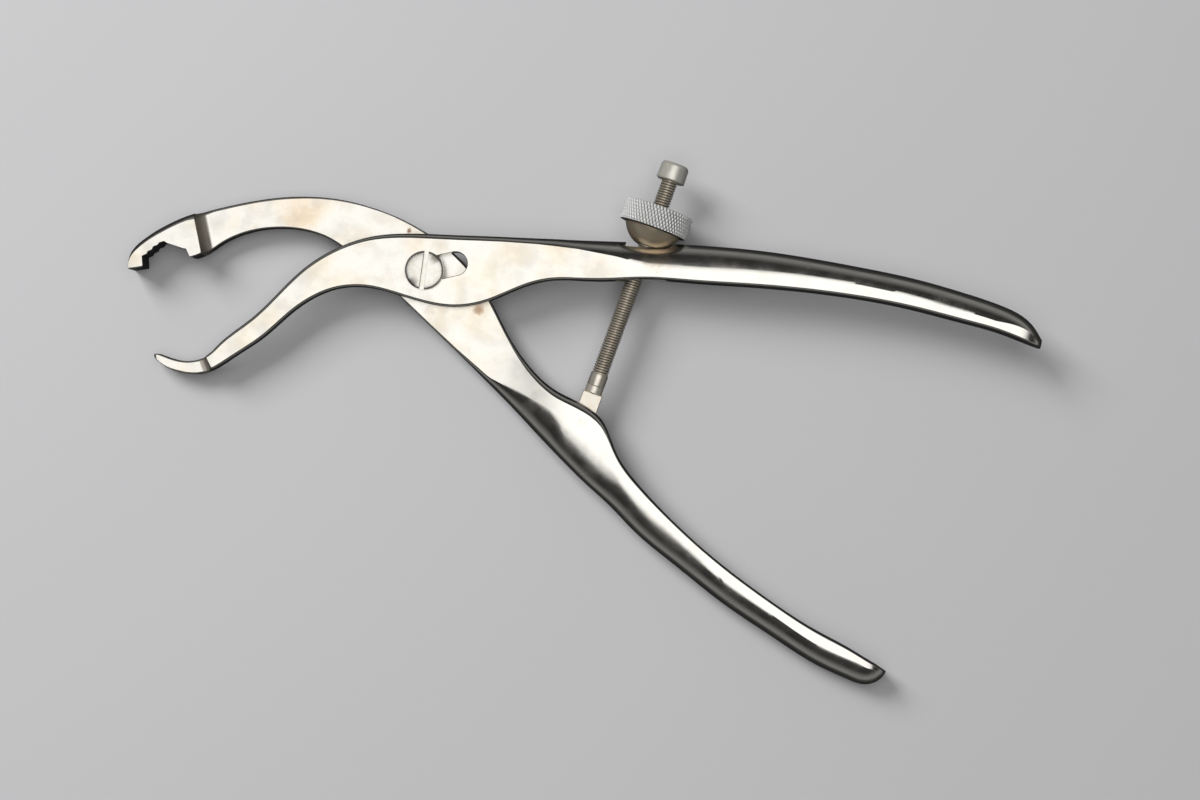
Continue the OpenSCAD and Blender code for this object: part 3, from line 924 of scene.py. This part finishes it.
hook_lever(lever_metal("hook_lever_steel", 52, 3, HOOK_STAINS_AND_REFLECTION,
                       (HOOK_STEP_X - 3.2, -27.6, 0.41), 3.2))
claw_lever(lever_metal("claw_lever_steel", 24, 40, CLAW_STAINS,
                       (CLAW_STEP_X, 11.2, 0.18), 3.8))
pivot_screw(screw_metal("screw_steel"))
spindle_pin(plain_metal("pin_steel", (0.80, 0.79, 0.75), (0.78, 0.74, 0.66), 0.2))
spindle_foot(plain_metal("foot_steel", (0.92, 0.87, 0.76), (0.88, 0.80, 0.67), 0.36, metallic=0.75))
# The thread's roots get painted shade
spindle(plain_metal("spindle_steel", (0.93, 0.87, 0.76), (0.86, 0.78, 0.66), 0.36, metallic=0.85,
                    groove_shade=(0.20, 0.15, 0.10), grooves=(2.05, 2.25)))
stop_cap(plain_metal("cap_steel", (0.93, 0.91, 0.82), (0.87, 0.84, 0.74), 0.4, metallic=0.7))
nut_seat(plain_metal("seat_steel", (0.62, 0.55, 0.42), (0.68, 0.54, 0.37), 0.42, metallic=0.85))
# The knurl's grooves and the end faces inside them get painted shade
knurled_nut(plain_metal("knurl_steel", (1.0, 1.0, 0.99), (0.95, 0.95, 0.93), 0.36,
                        metallic=0.4, groove_shade=(0.20, 0.20, 0.19), grooves=(10.08, 10.42)))

# ---------------------------------------------------------------- floor, light and camera

def floor_paper():
    """Pale paper, which is dark in the steel's reflections, like the cloth under the tool."""
    paper = bpy.data.materials.new("floor_paper")
    paper.use_nodes = True
    tree = paper.node_tree
    shader = tree.nodes["Principled BSDF"]
    shader.inputs["Roughness"].default_value = 0.9
    shade = tree.nodes.new("ShaderNodeMix")
    shade.data_type = "RGBA"
    shade.inputs[6].default_value = (0.68, 0.68, 0.69, 1)
    shade.inputs[7].default_value = (0.055, 0.055, 0.055, 1)
    rays = tree.nodes.new("ShaderNodeLightPath")
    tree.links.new(rays.outputs["Is Glossy Ray"], shade.inputs[0])
    tree.links.new(shade.outputs[2], shader.inputs["Base Color"])
    return paper


def lay_floor():
    """The floor on which the nut's rim, the claw and the end of the claw lever's handle rest."""
    nut_middle = ALONG @ Vector((0, 0, BALL_AT))
    nut_r, gap = 10.6, 0.05
    rests = [Vector((nut_middle.x, nut_middle.y, MID - nut_r)), Vector((-88, 3, 0)),
             Vector((130, -122, 0))]
    up = (rests[2] - rests[1]).cross(rests[0] - rests[1]).normalized()
    if up.z < 0:
        up = -up
    bm = bmesh.new()
    bmesh.ops.create_grid(bm, x_segments=1, y_segments=1, size=4000)
    floor = new_object("floor", bm)
    floor.location = (rests[1] - up * gap) * MM
    floor.rotation_mode = "QUATERNION"
    floor.rotation_quaternion = Vector((0, 0, 1)).rotation_difference(up)
    floor.data.materials.append(floor_paper())
    return floor


lay_floor()

VIEW_CENTRE = Vector((52.65, -38.85, LEVER_T)) * MM
CAMERA_HEIGHT = 0.654


def area_light(name, place, size, power, glossy=True):
    data = bpy.data.lights.new(name, "AREA")
    data.shape = "RECTANGLE"
    data.size, data.size_y = size
    data.energy = power
    light = bpy.data.objects.new(name, data)
    bpy.context.scene.collection.objects.link(light)
    light.location = place
    light.rotation_mode = "QUATERNION"
    light.rotation_quaternion = (Vector(place) - VIEW_CENTRE).to_track_quat("Z", "Y")
    light.visible_glossy = glossy


# Height in the sky and brightness: a low band all round, dark above it, brighter overhead
SKY_LEVELS = [(0.0, 0.06), (0.10, 0.22), (0.30, 0.22), (0.48, 0.11), (0.60, 0.02), (0.85, 0.04),
              (1.0, 0.5)]


def studio_world():
    """A sky that lights the tool by height, behind a plain backdrop that the camera sees."""
    world = bpy.data.worlds.new("studio")
    world.use_nodes = True
    tree = world.node_tree
    direction = tree.nodes.new("ShaderNodeTexCoord")
    split = tree.nodes.new("ShaderNodeSeparateXYZ")
    ramp = tree.nodes.new("ShaderNodeValToRGB")
    stops = ramp.color_ramp.elements
    for k, (height, level) in enumerate(SKY_LEVELS):
        stop = stops[k] if k < 2 else stops.new(height)
        stop.position = height
        stop.color = (level, level, level, 1)
    sky = tree.nodes["Background"]
    backdrop = tree.nodes.new("ShaderNodeBackground")
    backdrop.inputs[0].default_value = (0.55, 0.55, 0.56, 1)
    seen = tree.nodes.new("ShaderNodeLightPath")
    choose = tree.nodes.new("ShaderNodeMixShader")
    tree.links.new(direction.outputs["Generated"], split.inputs[0])
    tree.links.new(split.outputs["Z"], ramp.inputs[0])
    tree.links.new(ramp.outputs[0], sky.inputs[0])
    tree.links.new(seen.outputs["Is Camera Ray"], choose.inputs[0])
    tree.links.new(sky.outputs[0], choose.inputs[1])
    tree.links.new(backdrop.outputs[0], choose.inputs[2])
    tree.links.new(choose.outputs[0], tree.nodes["World Output"].inputs[0])
    return world


def overhead_camera():
    data = bpy.data.cameras.new("camera")
    data.lens = 65.4
    data.sensor_width = 36
    camera = bpy.data.objects.new("camera", data)
    bpy.context.scene.collection.objects.link(camera)
    camera.location = VIEW_CENTRE + Vector((0, 0, CAMERA_HEIGHT))
    return camera


area_light("overhead", (0.04, 0.0, 1.12), (1.25, 1.1), 3.8)
area_light("floor_fill", (-0.9, 0.9, 1.0), (0.8, 0.8), 20, glossy=False)
bpy.context.scene.world = studio_world()
bpy.context.scene.camera = overhead_camera()
bpy.context.scene.view_settings.view_transform = "Standard"
